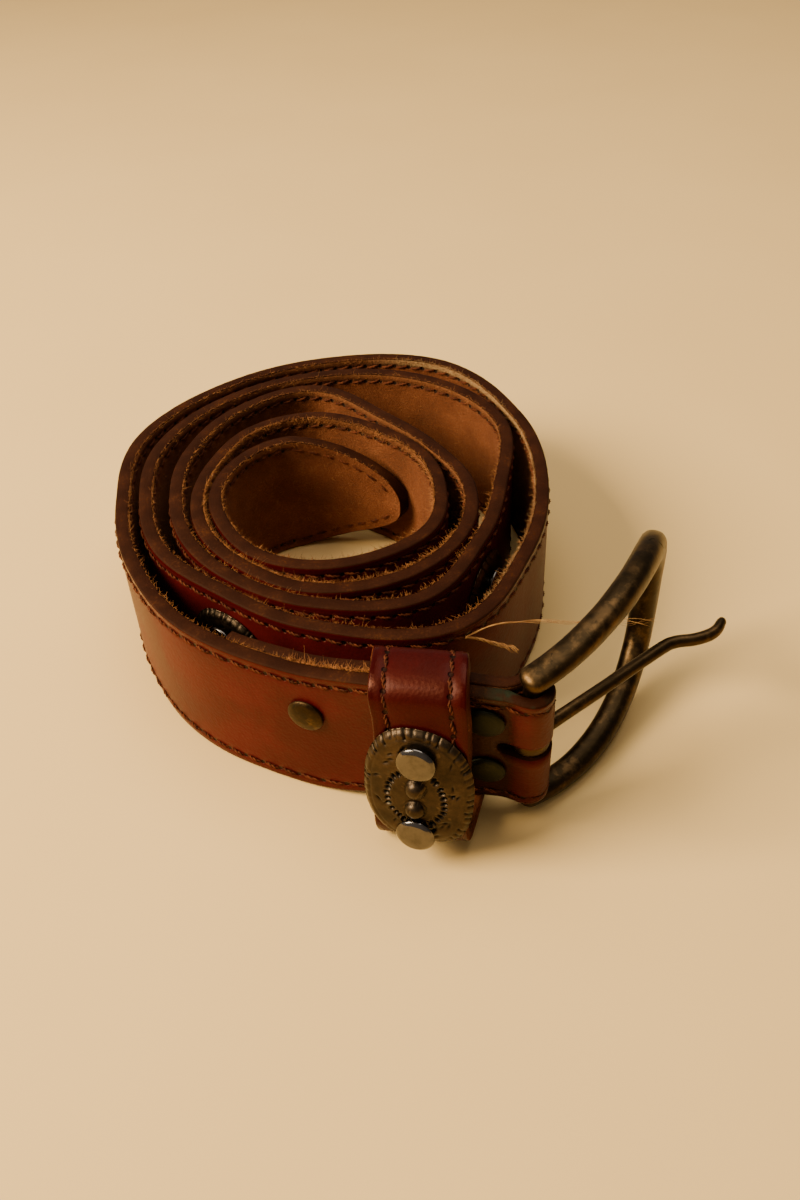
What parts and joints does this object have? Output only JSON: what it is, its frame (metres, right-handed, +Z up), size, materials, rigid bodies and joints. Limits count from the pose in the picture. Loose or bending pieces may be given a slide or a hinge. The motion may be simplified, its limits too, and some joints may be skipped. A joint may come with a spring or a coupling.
{
  "type": "studded leather belt",
  "caption": "Rolled leather waist belt with a horseshoe buckle frame and prong, a leather keeper, oval domed conchos and cap rivets.",
  "frame": {"origin": "on the surface the belt stands on, under the middle of its bounding box", "axes": "+Z up the strap's width, -Y towards the side where the buckle end lies, +X towards the side that the buckle frame points to"},
  "size_m": [0.1408, 0.1566, 0.0523],
  "materials": {
    "strap_leather": "glossy cognac grain, orange-brown flesh side, dark painted edges",
    "keeper_leather": "dark red-brown waxed leather with brown thread",
    "aged_bronze": "dark antique bronze with worn high spots",
    "concho_brass": "antique brass, hammered, dark in the low places",
    "rivet_nickel": "polished nickel plate"
  },
  "bodies": {
    "belt": {"strap": "strap_leather", "keeper": "keeper_leather", "keeper_concho": "concho_brass", "keeper_rivet_upper": "rivet_nickel", "keeper_rivet_lower": "rivet_nickel", "fold_rivet_upper": "aged_bronze", "fold_rivet_lower": "aged_bronze", "strap_rivet": "aged_bronze", "front_concho": "concho_brass", "front_rivet_upper": "rivet_nickel", "front_rivet_lower": "rivet_nickel", "side_concho": "concho_brass", "side_rivet_upper": "rivet_nickel", "side_rivet_lower": "rivet_nickel"},
    "frame": {"buckle_frame": "aged_bronze"},
    "prong": {"buckle_prong": "aged_bronze"}
  },
  "joints": [
    {"name": "frame_swing", "type": "hinge", "parent": "belt", "child": "frame", "pos_m": [0.02455, -0.06577, 0.02365], "axis": [-0.0259, -0.1332, 0.9907], "range_deg": [-110, 15]},
    {"name": "prong_swing", "type": "hinge", "parent": "frame", "child": "prong", "pos_m": [0.02455, -0.06577, 0.02365], "axis": [-0.0259, -0.1332, 0.9907], "range_deg": [-52, 12]}
  ]
}
